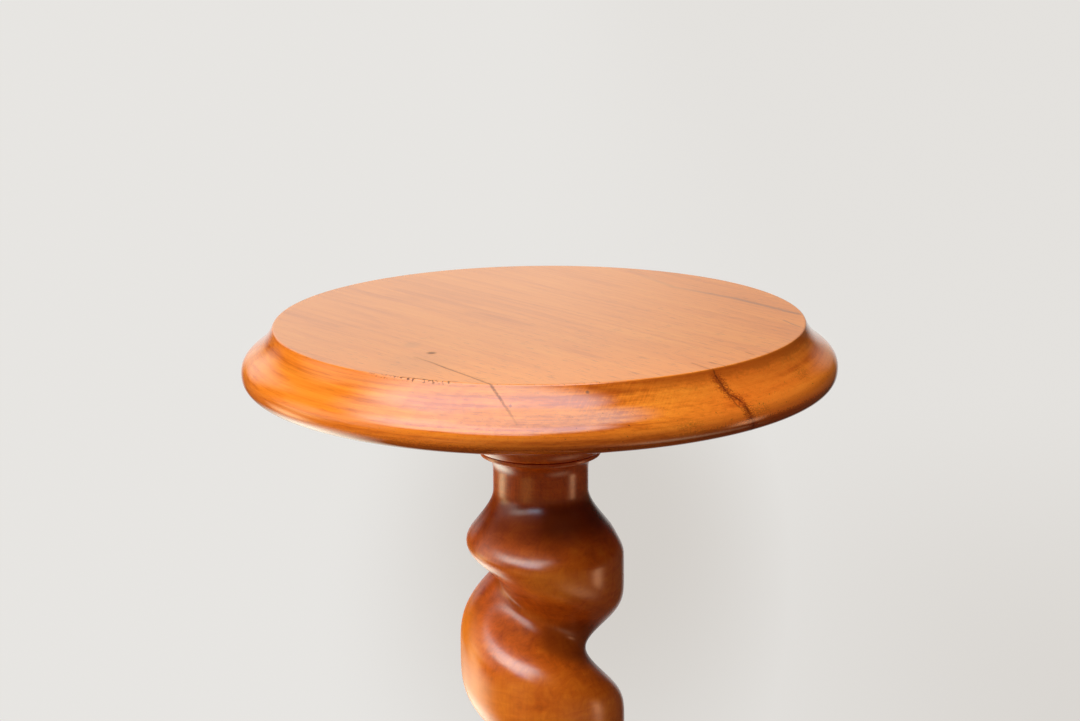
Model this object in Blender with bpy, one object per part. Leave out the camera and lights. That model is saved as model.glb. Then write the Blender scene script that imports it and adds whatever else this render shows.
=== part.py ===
"""Turned wooden plant stand: a round top with a moulded edge on a barley-twist column and a round foot.

Metres, +Z up. The origin is on the floor under the middle of the column. The twist has one start and is
left-handed: a single deep hollow winds down the column and leaves a single fat rope between its turns.
"""

import math

import bmesh
import bpy

# Whole height, from the floor to the flat of the top
STAND_HEIGHT = 0.915

# Fit left all round between two pieces that touch
JOINT_GAP = 0.0003
# How far a cutter runs past the face that it opens
CUT_OVERRUN = 0.002

# Moulded edge, worked alike on the top and the base: a hollow below the arris sweeps out into a round nose
EDGE_PROJECTION = 0.0163
EDGE_DROP = 0.0224
HOLLOW_PULL_OUT = 0.0062
HOLLOW_PULL_DOWN = 0.0154
NOSE_PULL_UP = 0.0092
NOSE_DROP = 0.0086
NOSE_RETURN = 0.0121

# Top, with a blind mortise in its underside
TOP_DIAMETER = 0.300
WOOD_OVER_MORTISE = 0.011

# Cleat under the top, and the screws that hold it there
CLEAT_DIAMETER = 0.120
CLEAT_THICKNESS = 0.014
CLEAT_ROUND = 0.006
SCREW_COUNT = 4
SCREW_EDGE_DISTANCE = 0.011
SCREW_LENGTH = 0.030
SCREW_POINT_LENGTH = 0.006
SCREW_SHANK_DIAMETER = 0.0042
SCREW_HEAD_DIAMETER = 0.0084
SCREW_HEAD_DEPTH = 0.0024
SCREW_SINK = 0.0005
SCREW_SLOT_WIDTH = 0.0010
SCREW_SLOT_DEPTH = 0.0010
SCREW_FIRST_ANGLE = math.radians(45)
SCREW_TURN_STEP = math.radians(37)

# Turned end of the column, the same at the head and at the foot, named from the seat to the twist
NECK_DIAMETER = 0.0488
FLANGE_HEIGHT = 0.004
FLANGE_PROJECTION = 0.009
FLANGE_COVE_HEIGHT = 0.006
BEAD_HEIGHT = 0.0113
BEAD_PROJECTION = 0.0028
FILLET_HEIGHT = 0.0025
NECK_COVE_HEIGHT = 0.0079
NECK_COVE_PROJECTION = 0.0066
NECK_LENGTH = 0.0111

# Barley twist between the two necks, over all the height that is left there
TWIST_DIAMETER = 0.085
TWIST_CORE_DIAMETER = 0.045
TWIST_PITCH = 0.085
TWIST_SHARPNESS = 2.4
SHOULDER_LENGTH = 0.0345
HOLLOW_START = 0.0204
HOLLOW_RUN_IN = 0.0188
HOLLOW_ANGLE_AT_HEAD = math.radians(-7.4)

# Tenons of the column and the wedges driven into their saw kerfs
UPPER_TENON_DIAMETER = 0.032
LOWER_TENON_DIAMETER = 0.036
TENON_CHAMFER = 0.0015
UPPER_WEDGE_LENGTH = 0.016
LOWER_WEDGE_LENGTH = 0.022
WEDGE_HEAD_THICKNESS = 0.0040
WEDGE_TIP_THICKNESS = 0.0014
WEDGE_SETBACK = 0.003

# Base, with a low dome that rises to a boss under the column
BASE_DIAMETER = 0.310
DOME_RISE = 0.0055
BOSS_DIAMETER = 0.112
BOSS_HEIGHT = 0.006
BOSS_ROUND = 0.004

# Bun feet, each turned in one piece with its spigot
FOOT_COUNT = 3
FOOT_FIRST_ANGLE = math.radians(90)
FOOT_EDGE_DISTANCE = 0.043
FOOT_DIAMETER = 0.062
FOOT_PAD_DIAMETER = 0.036
BUN_LOWER_HEIGHT = 0.0165
BUN_UPPER_HEIGHT = 0.0145
FOOT_QUIRK_HEIGHT = 0.0015
FOOT_QUIRK_DIAMETER = 0.040
FOOT_COLLAR_DIAMETER = 0.047
FOOT_COLLAR_HEIGHT = 0.0055
SPIGOT_DIAMETER = 0.022
SPIGOT_LENGTH = 0.020
SPIGOT_CHAMFER = 0.0015

# Facets
TOP_FACETS = 64
BASE_FACETS = 56
CLEAT_FACETS = 40
FOOT_FACETS = 20
SCREW_FACETS = 12
COLUMN_FACETS = 20
RINGS_PER_TURN = 15
SWEEP_STEPS = 7
ROUND_STEPS = 4
SMOOTH_ANGLE = math.radians(40)

# Sizes that follow from the ones above
EDGE_THICKNESS = NOSE_DROP + EDGE_DROP
BASE_HEIGHT = EDGE_THICKNESS + DOME_RISE + BOSS_HEIGHT
FOOT_HEIGHT = BUN_LOWER_HEIGHT + BUN_UPPER_HEIGHT + FOOT_QUIRK_HEIGHT + FOOT_COLLAR_HEIGHT
BEAD_ROOT_RADIUS = NECK_DIAMETER / 2 + NECK_COVE_PROJECTION
END_LENGTH = (
    FLANGE_HEIGHT + FLANGE_COVE_HEIGHT + BEAD_HEIGHT + FILLET_HEIGHT + NECK_COVE_HEIGHT + NECK_LENGTH
)
MORTISE_DEPTH = EDGE_THICKNESS - WOOD_OVER_MORTISE
UPPER_TENON_LENGTH = CLEAT_THICKNESS + JOINT_GAP + MORTISE_DEPTH
LOWER_TENON_LENGTH = BASE_HEIGHT + JOINT_GAP

# Heights above the floor at which the pieces stand, and the column's length between them
BASE_LEVEL = FOOT_HEIGHT + JOINT_GAP
COLUMN_LEVEL = BASE_LEVEL + BASE_HEIGHT + JOINT_GAP
TOP_LEVEL = STAND_HEIGHT - EDGE_THICKNESS
CLEAT_LEVEL = TOP_LEVEL - JOINT_GAP - CLEAT_THICKNESS
COLUMN_LENGTH = CLEAT_LEVEL - JOINT_GAP - COLUMN_LEVEL
TWIST_LENGTH = COLUMN_LENGTH - 2 * END_LENGTH


def clear_scene():
    for old in list(bpy.data.objects):
        bpy.data.objects.remove(old, do_unlink=True)


def finish(name, colour, roughness, metallic=0.0):
    material = bpy.data.materials.new(name)
    material.use_nodes = True
    material.diffuse_color = (*colour, 1.0)
    shader = material.node_tree.nodes["Principled BSDF"]
    shader.inputs["Base Color"].default_value = (*colour, 1.0)
    shader.inputs["Roughness"].default_value = roughness
    shader.inputs["Metallic"].default_value = metallic
    return material


def piece(name, shape, material=None):
    """An object made from a bmesh and shaded smooth, or a hidden cutter where it has no material."""
    mesh = bpy.data.meshes.new(name)
    bmesh.ops.recalc_face_normals(shape, faces=shape.faces)
    shape.to_mesh(mesh)
    shape.free()
    mesh.shade_smooth()
    mesh.set_sharp_from_angle(angle=SMOOTH_ANGLE)
    made = bpy.data.objects.new(name, mesh)
    bpy.context.scene.collection.objects.link(made)
    if material is None:
        made.hide_render = True
        made.display_type = "WIRE"
    else:
        mesh.materials.append(material)
    return made


def stand_at(made, parent, height, radius=0.0, angle=0.0, turn=0.0):
    made.parent = parent
    made.location = (radius * math.cos(angle), radius * math.sin(angle), height)
    made.rotation_euler.z = turn


def cut(target, cutter):
    boolean = target.modifiers.new(cutter.name, "BOOLEAN")
    boolean.operation = "DIFFERENCE"
    boolean.solver = "EXACT"
    boolean.object = cutter


def quarter_arc(start, end, leaves, steps=ROUND_STEPS):
    """Points past start on a quarter ellipse that leaves start upright or level, and meets end the other way."""
    points = []
    for step in range(1, steps + 1):
        turn = math.pi / 2 * step / steps
        ahead = math.sin(turn)
        aside = 1 - math.cos(turn)
        across, along = (aside, ahead) if leaves == "upright" else (ahead, aside)
        points.append((start[0] + (end[0] - start[0]) * across, start[1] + (end[1] - start[1]) * along))
    return points


def cubic_sweep(start, pull_start, pull_end, end, steps=SWEEP_STEPS):
    """Points past start on a cubic curve drawn towards its two pulls."""
    points = []
    for step in range(1, steps + 1):
        t = step / steps
        shares = ((1 - t) ** 3, 3 * t * (1 - t) ** 2, 3 * t * t * (1 - t), t**3)
        corners = (start, pull_start, pull_end, end)
        points.append(tuple(sum(s * c[axis] for s, c in zip(shares, corners)) for axis in (0, 1)))
    return points


def turned(outline, facets):
    """Lathe work: an outline of (radius, height), closed on itself unless both its ends are on the axis."""
    shape = bmesh.new()
    points = [shape.verts.new((radius, 0, height)) for radius, height in outline]
    edges = [shape.edges.new(pair) for pair in zip(points, points[1:])]
    if outline[0][0] > 0:
        edges.append(shape.edges.new((points[-1], points[0])))
    bmesh.ops.spin(
        shape,
        geom=points + edges,
        axis=(0, 0, 1),
        cent=(0, 0, 0),
        angle=2 * math.pi,
        steps=facets,
        use_merge=True,
    )
    bmesh.ops.remove_doubles(shape, verts=shape.verts, dist=1e-6)
    return shape


def moulded_edge(diameter):
    """The edge from the underside out round the nose and up the hollow to the arris, above the underside."""
    outer = diameter / 2
    under = (outer - NOSE_RETURN, 0)
    widest = (outer, NOSE_DROP)
    arris = (outer - EDGE_PROJECTION, EDGE_THICKNESS)
    nose = quarter_arc(under, widest, "level")
    hollow_pull = (arris[0] + HOLLOW_PULL_OUT, arris[1] - HOLLOW_PULL_DOWN)
    nose_pull = (widest[0], widest[1] + NOSE_PULL_UP)
    return [under, *nose, *cubic_sweep(widest, nose_pull, hollow_pull, arris)]


def top_shape():
    mortise = UPPER_TENON_DIAMETER / 2 + JOINT_GAP
    ceiling = MORTISE_DEPTH
    outline = [(0, ceiling), (mortise, ceiling), (mortise, 0), *moulded_edge(TOP_DIAMETER)]
    outline.append((0, EDGE_THICKNESS))
    return turned(outline, TOP_FACETS)


def cleat_shape():
    hole = UPPER_TENON_DIAMETER / 2 + JOINT_GAP
    rim = CLEAT_DIAMETER / 2
    lower_edge = (rim - CLEAT_ROUND, 0)
    outline = [(hole, 0), lower_edge, *quarter_arc(lower_edge, (rim, CLEAT_ROUND), "level")]
    outline += [(rim, CLEAT_THICKNESS), (hole, CLEAT_THICKNESS)]
    return turned(outline, CLEAT_FACETS)


def screw_shape(clearance=0.0, overrun=0.0):
    """A countersunk screw that points up from its head, or with a clearance the hole that it needs."""
    head = SCREW_HEAD_DIAMETER / 2 + clearance
    shank = SCREW_SHANK_DIAMETER / 2 + clearance
    neck = SCREW_HEAD_DEPTH + clearance
    outline = [(0, -overrun), (head, -overrun)]
    if overrun:
        outline.append((head, 0))
    outline += [(shank, neck), (shank, SCREW_LENGTH - SCREW_POINT_LENGTH), (0, SCREW_LENGTH + clearance)]
    return turned(outline, SCREW_FACETS)


def bar_shape(sections, width):
    """A bar along Y whose side outline has a thickness in X at each height, and is the same on both sides."""
    shape = bmesh.new()
    right = [(thickness / 2, height) for height, thickness in sections]
    left = [(-x, height) for x, height in reversed(right)]
    side = shape.faces.new([shape.verts.new((x, -width / 2, z)) for x, z in right + left])
    grown = bmesh.ops.extrude_face_region(shape, geom=[side])
    far_side = [made for made in grown["geom"] if isinstance(made, bmesh.types.BMVert)]
    bmesh.ops.translate(shape, verts=far_side, vec=(0, width, 0))
    return shape


def wedge_shape(length, tenon_diameter):
    sections = [(-length, WEDGE_TIP_THICKNESS), (0, WEDGE_HEAD_THICKNESS)]
    return bar_shape(sections, tenon_diameter - 2 * WEDGE_SETBACK)


def kerf_shape(length, tenon_diameter):
    tip = WEDGE_TIP_THICKNESS + 2 * JOINT_GAP
    head = WEDGE_HEAD_THICKNESS + 2 * JOINT_GAP
    sections = [(-length - JOINT_GAP, tip), (0, head), (CUT_OVERRUN, head)]
    return bar_shape(sections, tenon_diameter + 2 * CUT_OVERRUN)


def turned_end():
    """(radius, distance from the seat) of the column's end: flange, cove, bead, fillet, cove and neck."""
    neck = NECK_DIAMETER / 2
    root = BEAD_ROOT_RADIUS
    flange = root + FLANGE_PROJECTION
    cove_top = FLANGE_HEIGHT + FLANGE_COVE_HEIGHT
    bead_middle = cove_top + BEAD_HEIGHT / 2
    bead_end = cove_top + BEAD_HEIGHT
    fillet_end = bead_end + FILLET_HEIGHT
    cove_end = fillet_end + NECK_COVE_HEIGHT
    outline = [(flange, 0), (flange, FLANGE_HEIGHT)]
    outline += quarter_arc((flange, FLANGE_HEIGHT), (root, cove_top), "level")
    outline += quarter_arc((root, cove_top), (root + BEAD_PROJECTION, bead_middle), "level")
    outline += quarter_arc((root + BEAD_PROJECTION, bead_middle), (root, bead_end), "upright")
    outline.append((root, fillet_end))
    outline += quarter_arc((root, fillet_end), (neck, cove_end), "level")
    return outline


def tenon(diameter, length):
    """(radius, distance from the seat) of a tenon that points away from the twist, from its tip to its root."""
    radius = diameter / 2
    return [(radius - TENON_CHAMFER, -length), (radius, TENON_CHAMFER - length), (radius, 0)]


def ease(t):
    t = min(max(t, 0.0), 1.0)
    return t * t * (3 - 2 * t)


def twist_radius(turn, height):
    """Radius of the twist at a turn past the middle of the hollow, at a height above the lower neck's end."""
    from_neck = min(height, TWIST_LENGTH - height)
    neck = NECK_DIAMETER / 2
    swell = (TWIST_DIAMETER / 2 - neck) * ease(from_neck / SHOULDER_LENGTH)
    full_depth = (TWIST_DIAMETER - TWIST_CORE_DIAMETER) / 2
    depth = full_depth * ease((from_neck - HOLLOW_START) / HOLLOW_RUN_IN)
    return neck + swell - depth * ((1 + math.cos(turn)) / 2) ** TWIST_SHARPNESS


def hollow_angle(height):
    """Where the hollow has wound to at a height above the lower neck's end: left-handed, down from the head."""
    return HOLLOW_ANGLE_AT_HEAD + 2 * math.pi * (TWIST_LENGTH - height) / TWIST_PITCH


def column_shape():
    """Rings from the lower tenon's tip to the upper one's, whose points keep to the hollow as it winds."""
    shape = bmesh.new()
    turns = [2 * math.pi * facet / COLUMN_FACETS for facet in range(COLUMN_FACETS)]
    rings = []

    def add_ring(level, start_angle, radii):
        corners = []
        for turn, radius in zip(turns, radii):
            angle = start_angle + turn
            corners.append(shape.verts.new((radius * math.cos(angle), radius * math.sin(angle), level)))
        rings.append(corners)

    def add_turned(outline, seat, direction, start_angle):
        for radius, distance in outline:
            add_ring(seat + direction * distance, start_angle, [radius] * COLUMN_FACETS)

    end = turned_end()
    foot_angle = hollow_angle(0)
    add_turned(tenon(LOWER_TENON_DIAMETER, LOWER_TENON_LENGTH) + end, 0, 1, foot_angle)
    steps = round(RINGS_PER_TURN * TWIST_LENGTH / TWIST_PITCH)
    for step in range(steps + 1):
        height = TWIST_LENGTH * step / steps
        add_ring(END_LENGTH + height, hollow_angle(height), [twist_radius(turn, height) for turn in turns])
    head = tenon(UPPER_TENON_DIAMETER, UPPER_TENON_LENGTH) + end
    add_turned(reversed(head), COLUMN_LENGTH, -1, HOLLOW_ANGLE_AT_HEAD)

    for below, above in zip(rings, rings[1:]):
        for here in range(COLUMN_FACETS):
            following = (here + 1) % COLUMN_FACETS
            shape.faces.new((below[here], below[following], above[following], above[here]))
    shape.faces.new(reversed(rings[0]))
    shape.faces.new(rings[-1])
    return shape


def base_shape():
    mortise = LOWER_TENON_DIAMETER / 2 + JOINT_GAP
    boss = BOSS_DIAMETER / 2
    edge = moulded_edge(BASE_DIAMETER)
    arris = edge[-1]
    dome_top = EDGE_THICKNESS + DOME_RISE
    boss_side = BASE_HEIGHT - BOSS_ROUND
    dome_middle = ((arris[0] + boss) / 2, dome_top)
    outline = [(mortise, 0), *edge]
    outline += cubic_sweep(arris, dome_middle, dome_middle, (boss, dome_top), ROUND_STEPS)
    outline += [(boss, boss_side), *quarter_arc((boss, boss_side), (boss - BOSS_ROUND, BASE_HEIGHT), "upright")]
    outline.append((mortise, BASE_HEIGHT))
    return turned(outline, BASE_FACETS)


def foot_shape():
    pad = (FOOT_PAD_DIAMETER / 2, 0)
    widest = (FOOT_DIAMETER / 2, BUN_LOWER_HEIGHT)
    bun_top = (FOOT_QUIRK_DIAMETER / 2, BUN_LOWER_HEIGHT + BUN_UPPER_HEIGHT)
    collar = FOOT_COLLAR_DIAMETER / 2
    collar_bottom = FOOT_HEIGHT - FOOT_COLLAR_HEIGHT
    spigot = SPIGOT_DIAMETER / 2
    spigot_end = FOOT_HEIGHT + SPIGOT_LENGTH
    outline = [(0, 0), pad, *quarter_arc(pad, widest, "level"), *quarter_arc(widest, bun_top, "upright")]
    outline += [(bun_top[0], collar_bottom), (collar, collar_bottom), (collar, FOOT_HEIGHT)]
    outline += [(spigot, FOOT_HEIGHT), (spigot, spigot_end - SPIGOT_CHAMFER)]
    outline += [(spigot - SPIGOT_CHAMFER, spigot_end), (0, spigot_end)]
    return turned(outline, FOOT_FACETS)


def socket_shape():
    radius = SPIGOT_DIAMETER / 2 + JOINT_GAP
    depth = SPIGOT_LENGTH + JOINT_GAP
    return turned([(0, -CUT_OVERRUN), (radius, -CUT_OVERRUN), (radius, depth), (0, depth)], FOOT_FACETS)


def make_top(stand):
    top = piece("top_board", top_shape(), finish("polished_top", (0.62, 0.24, 0.065), 0.22))
    stand_at(top, stand, TOP_LEVEL)
    cleat = piece("top_cleat", cleat_shape(), finish("oiled_cleat", (0.40, 0.17, 0.055), 0.5))
    stand_at(cleat, stand, CLEAT_LEVEL)
    steel = finish("screw_steel", (0.36, 0.34, 0.31), 0.38, 1.0)
    radius = CLEAT_DIAMETER / 2 - SCREW_EDGE_DISTANCE
    for number in range(SCREW_COUNT):
        angle = SCREW_FIRST_ANGLE + 2 * math.pi * number / SCREW_COUNT
        turn = SCREW_TURN_STEP * number
        screw = piece(f"cleat_screw_{number + 1}", screw_shape(), steel)
        stand_at(screw, stand, CLEAT_LEVEL + SCREW_SINK, radius, angle, turn)
        slot_sections = [(-CUT_OVERRUN, SCREW_SLOT_WIDTH), (SCREW_SLOT_DEPTH, SCREW_SLOT_WIDTH)]
        slot = piece(f"slot_cutter_{number + 1}", bar_shape(slot_sections, 2 * SCREW_HEAD_DIAMETER))
        stand_at(slot, stand, CLEAT_LEVEL + SCREW_SINK, radius, angle, turn)
        cut(screw, slot)
        hole = piece(f"screw_hole_cutter_{number + 1}", screw_shape(JOINT_GAP, CUT_OVERRUN))
        stand_at(hole, stand, CLEAT_LEVEL + SCREW_SINK, radius, angle, turn)
        cut(cleat, hole)
        cut(top, hole)


def make_column(stand):
    column = piece("column", column_shape(), finish("polished_column", (0.40, 0.115, 0.022), 0.2))
    stand_at(column, stand, COLUMN_LEVEL)
    wood = finish("wedge_wood", (0.30, 0.14, 0.06), 0.55)
    ends = (
        ("upper", UPPER_WEDGE_LENGTH, UPPER_TENON_DIAMETER, COLUMN_LENGTH + UPPER_TENON_LENGTH, 0),
        ("lower", LOWER_WEDGE_LENGTH, LOWER_TENON_DIAMETER, -LOWER_TENON_LENGTH, math.pi),
    )
    for name, length, diameter, height, tilt in ends:
        wedge = piece(f"{name}_tenon_wedge", wedge_shape(length, diameter), wood)
        kerf = piece(f"{name}_kerf_cutter", kerf_shape(length, diameter))
        for made in (wedge, kerf):
            stand_at(made, stand, COLUMN_LEVEL + height)
            made.rotation_euler.x = tilt
        cut(column, kerf)


def make_foot(stand):
    base = piece("base_board", base_shape(), finish("polished_base", (0.42, 0.14, 0.032), 0.24))
    stand_at(base, stand, BASE_LEVEL)
    wood = finish("polished_foot", (0.36, 0.11, 0.024), 0.26)
    radius = BASE_DIAMETER / 2 - FOOT_EDGE_DISTANCE
    for number in range(FOOT_COUNT):
        angle = FOOT_FIRST_ANGLE + 2 * math.pi * number / FOOT_COUNT
        foot = piece(f"bun_foot_{number + 1}", foot_shape(), wood)
        stand_at(foot, stand, 0, radius, angle)
        socket = piece(f"socket_cutter_{number + 1}", socket_shape())
        stand_at(socket, stand, BASE_LEVEL, radius, angle)
        cut(base, socket)


def main():
    clear_scene()
    stand = bpy.data.objects.new("plant_stand", None)
    bpy.context.scene.collection.objects.link(stand)
    make_top(stand)
    make_column(stand)
    make_foot(stand)


main()
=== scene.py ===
import math

import bmesh
import bpy
from mathutils import Matrix, Vector


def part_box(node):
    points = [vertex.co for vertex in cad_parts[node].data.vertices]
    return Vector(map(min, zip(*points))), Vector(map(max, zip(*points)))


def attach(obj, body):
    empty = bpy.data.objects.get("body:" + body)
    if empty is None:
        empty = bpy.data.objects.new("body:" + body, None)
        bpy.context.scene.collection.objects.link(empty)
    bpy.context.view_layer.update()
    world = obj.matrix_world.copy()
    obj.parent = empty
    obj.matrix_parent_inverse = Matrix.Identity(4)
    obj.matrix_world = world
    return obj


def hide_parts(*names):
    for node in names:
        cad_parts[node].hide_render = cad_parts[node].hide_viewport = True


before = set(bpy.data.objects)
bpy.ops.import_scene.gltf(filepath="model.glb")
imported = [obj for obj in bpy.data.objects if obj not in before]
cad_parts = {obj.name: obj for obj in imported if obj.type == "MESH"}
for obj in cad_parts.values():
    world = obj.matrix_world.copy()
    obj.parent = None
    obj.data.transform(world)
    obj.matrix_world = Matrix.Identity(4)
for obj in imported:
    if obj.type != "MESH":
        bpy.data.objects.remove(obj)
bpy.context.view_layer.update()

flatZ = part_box("top_board")[1][2]  # height of the top's flat
print("frame loaded, flat of the top at", round(flatZ, 4))


# a wire is one output socket, and sums on wires add Math nodes
class Wire:
    def __init__(self, socket):
        self.socket = socket

    def add(self, kind, settings=None, inputs=None, out=0):
        tree = self.socket.id_data
        made = tree.nodes.new(kind)
        for key, value in (settings or {}).items():
            if key == "stops":
                fillRamp(made.color_ramp, value)
            else:
                setattr(made, key, value)
        for key, value in (inputs or {}).items():
            if isinstance(value, Wire):
                tree.links.new(value.socket, made.inputs[key])
            else:
                made.inputs[key].default_value = value
        return Wire(made.outputs[out])

    def sum(self, operation, first, second=0.0, clamp=False):
        return self.add("ShaderNodeMath", {"operation": operation, "use_clamp": clamp}, {0: first, 1: second})

    def __add__(self, other):
        return self.sum("ADD", self, other)

    def __radd__(self, other):
        return self.sum("ADD", other, self)

    def __sub__(self, other):
        return self.sum("SUBTRACT", self, other)

    def __rsub__(self, other):
        return self.sum("SUBTRACT", other, self)

    def __mul__(self, other):
        return self.sum("MULTIPLY", self, other)

    def __rmul__(self, other):
        return self.sum("MULTIPLY", other, self)

    def __truediv__(self, other):
        return self.sum("DIVIDE", self, other)

    def __rtruediv__(self, other):
        return self.sum("DIVIDE", other, self)

    def vector(self, operation, other=(0, 0, 0), out=0):
        return self.add("ShaderNodeVectorMath", {"operation": operation}, {0: self, 1: other}, out)

    def part(self, axis):
        return self.add("ShaderNodeSeparateXYZ", None, {0: self}, axis)

    # 0 below low and 1 above high, soft between, or falling where low is the larger
    def fade(self, low, high):
        ends = {"Value": self, "From Min": low, "From Max": high, "To Min": 0.0, "To Max": 1.0}
        if low > high:
            ends.update({"From Min": high, "From Max": low, "To Min": 1.0, "To Max": 0.0})
        return self.add("ShaderNodeMapRange", {"interpolation_type": "SMOOTHSTEP"}, ends)

    def noise(self, scale=1.0, detail=2.0, roughness=0.5, distortion=0.0):
        values = {
            "Vector": self,
            "Scale": scale,
            "Detail": detail,
            "Roughness": roughness,
            "Distortion": distortion,
        }
        return self.add("ShaderNodeTexNoise", None, values)

    # noise with its own count of waves to the unit on each axis
    def stretchedNoise(self, waves, detail=2.0, roughness=0.5, distortion=0.0):
        return self.vector("MULTIPLY", waves).noise(1.0, detail, roughness, distortion)

    def ramp(self, stops):
        return self.add("ShaderNodeValToRGB", {"stops": stops}, {0: self})

    # this colour, with another laid over it by a mask
    def tint(self, mask, colour):
        settings = {"data_type": "RGBA", "blend_type": "MIX"}
        return self.add("ShaderNodeMix", settings, {0: mask, 6: self, 7: (*colour, 1.0)}, 2)


def fillRamp(ramp, stops):
    while len(ramp.elements) < len(stops):
        ramp.elements.new(1.0)
    for element, (place, colour) in zip(ramp.elements, stops):
        element.position = place
        element.color = (*colour, 1.0)


def newFinish(name, constants):
    material = bpy.data.materials.new(name)
    material.use_nodes = True
    tree = material.node_tree
    shader = tree.nodes["Principled BSDF"]
    for key, value in constants.items():
        shader.inputs[key].default_value = value
    where = Wire(tree.nodes.new("ShaderNodeTexCoord").outputs["Object"])
    return material, shader, where


def plug(shader, **links):
    names = {"colour": "Base Color", "roughness": "Roughness", "coat": "Coat Weight", "normal": "Normal"}
    for key, wire in links.items():
        shader.id_data.links.new(wire.socket, shader.inputs[names[key]])


def bumped(height, distance):
    return height.add("ShaderNodeBump", None, {"Height": height, "Distance": distance, "Strength": 1.0})


def largest(wires):
    top = wires[0]
    for wire in wires[1:]:
        top = top.sum("MAXIMUM", top, wire)
    return top


# shortest way from a point to a line through a few points
def awayFrom(where, points):
    gaps = []
    for start, end in zip(points, points[1:]):
        along = Vector(end) - Vector(start)
        local = where.vector("SUBTRACT", start)
        share = local.vector("DOT_PRODUCT", tuple(along / along.length_squared), 1)
        share = share.sum("ADD", share, 0.0, True)
        shares = share.add("ShaderNodeCombineXYZ", None, {0: share, 1: share, 2: share})
        gaps.append(local.vector("DISTANCE", shares.vector("MULTIPLY", tuple(along)), 1))
    nearest = gaps[0]
    for gap in gaps[1:]:
        nearest = nearest.sum("MINIMUM", nearest, gap)
    return nearest


# soft round or oval dab, strongest in the middle
def dab(where, middle, reach, strength=1.0):
    local = where.vector("SUBTRACT", middle).vector("DIVIDE", reach)
    return local.vector("LENGTH", out=1).fade(1.0, 0.2) * strength


mmPerMetre = 1000.0  # the woods and their marks are written in millimetres

# waves to the millimetre, along the grain and across it, that all the woods share
figureWaves = {
    "drift": (1 / 260, 1 / 60, 1 / 60),
    "ripple": (1 / 120, 1 / 8, 1 / 8),
    "fine": (0.05, 3.2, 3.2),
    "cloud": (0.007, 0.022, 0.022),
}

# constant values of the shader, by how a piece is finished
polish = {
    "Roughness": 0.45,
    "Coat Weight": 1.0,
    "Coat Roughness": 0.08,
    "Coat IOR": 1.62,
    "Specular IOR Level": 0.0,
}
softPolish = {**polish, "Coat Roughness": 0.24, "Coat IOR": 1.85}
oiled = {"Roughness": 0.5, "Specular IOR Level": 0.4}
bare = {"Roughness": 0.75, "Specular IOR Level": 0.2}


# figure of the wood, with the grain turned to run along the first axis
def woodFigure(where, wood):
    laid = {"Vector": where, "Rotation": wood["turn"], "Scale": (mmPerMetre,) * 3}
    turned = where.add("ShaderNodeMapping", None, laid)
    drift = Wire(turned.stretchedNoise(figureWaves["drift"], 3).socket.node.outputs["Color"])
    drift = drift.vector("SUBTRACT", (0.5, 0.5, 0.5)).vector("MULTIPLY", (0, wood["warp"], wood["warp"]))
    fromPith = turned.vector("SUBTRACT", (0, *wood["pith"])).vector("MULTIPLY", (0, 1, 1))
    years = fromPith.vector("ADD", drift).vector("LENGTH", out=1) / wood["yearWidth"]
    years = years + turned.stretchedNoise(figureWaves["ripple"], 3) * 1.6
    season = years.sum("FRACT", years)
    pores = turned.stretchedNoise(wood["pores"], 2, 0.5)
    facing = Wire(where.socket.id_data.nodes.new("ShaderNodeNewGeometry").outputs["Normal"])
    facing = facing.vector("DOT_PRODUCT", wood["grain"], 1)
    return {
        "lateWood": season.fade(0.2, 0.85) * season.fade(1.0, 0.86),
        "streak": turned.stretchedNoise(wood["streak"], 4, 0.55),
        "fibre": turned.stretchedNoise(wood["fibre"], 4, 0.6, wood["wander"]),
        "fine": turned.stretchedNoise(figureWaves["fine"], 2, 0.6),
        "pores": pores,
        "openPores": pores.fade(0.63, 0.72),
        "cloud": turned.stretchedNoise(figureWaves["cloud"], 3, 0.55),
        "endGrain": facing.sum("ABSOLUTE", facing),
    }


def woodColour(tone, wood, deepAt=0.24):
    return tone.ramp([(deepAt, wood["deep"]), (0.5, wood["middle"]), (0.76, wood["pale"])])


topWood = {
    "turn": (0, 0, math.radians(49.7)),
    "grain": (0.647, -0.763, 0.0),
    "pith": (-60.0, 790.0),
    "warp": 26.0,
    "yearWidth": 3.2,
    "streak": (0.006, 0.07, 0.30),
    "fibre": (0.012, 0.30, 1.5),
    "wander": 0.2,
    "pores": (0.10, 1.5, 2.2),
    "hatchTurn": math.radians(58),
    "bump": 0.00003,
    "pale": (0.92, 0.222, 0.019),
    "middle": (0.82, 0.166, 0.0125),
    "deep": (0.56, 0.088, 0.006),
    "pore": (0.24, 0.042, 0.005),
    "brown": (0.40, 0.050, 0.003),
    # patina with painted shade on the nose
    "dirtAndShade": (0.17, 0.022, 0.002),
    "flatBack": (0.60, 0.142, 0.013),
    "flatFront": (1.0, 0.225, 0.017),
    "mouldRight": (0.88, 0.09, 0.008),
    # painted light on the upper nose to the right
    "paintedNoseLight": (1.0, 0.20, 0.018),
    # painted reflection along the bottom of the nose
    "paintedReflection": (0.70, 0.32, 0.18),
    "stain": (0.30, 0.030, 0.003),
    "dullLine": (0.20, 0.050, 0.018),
    "darkMark": (0.09, 0.026, 0.012),
    "pit": (0.055, 0.012, 0.003),
}

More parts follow.
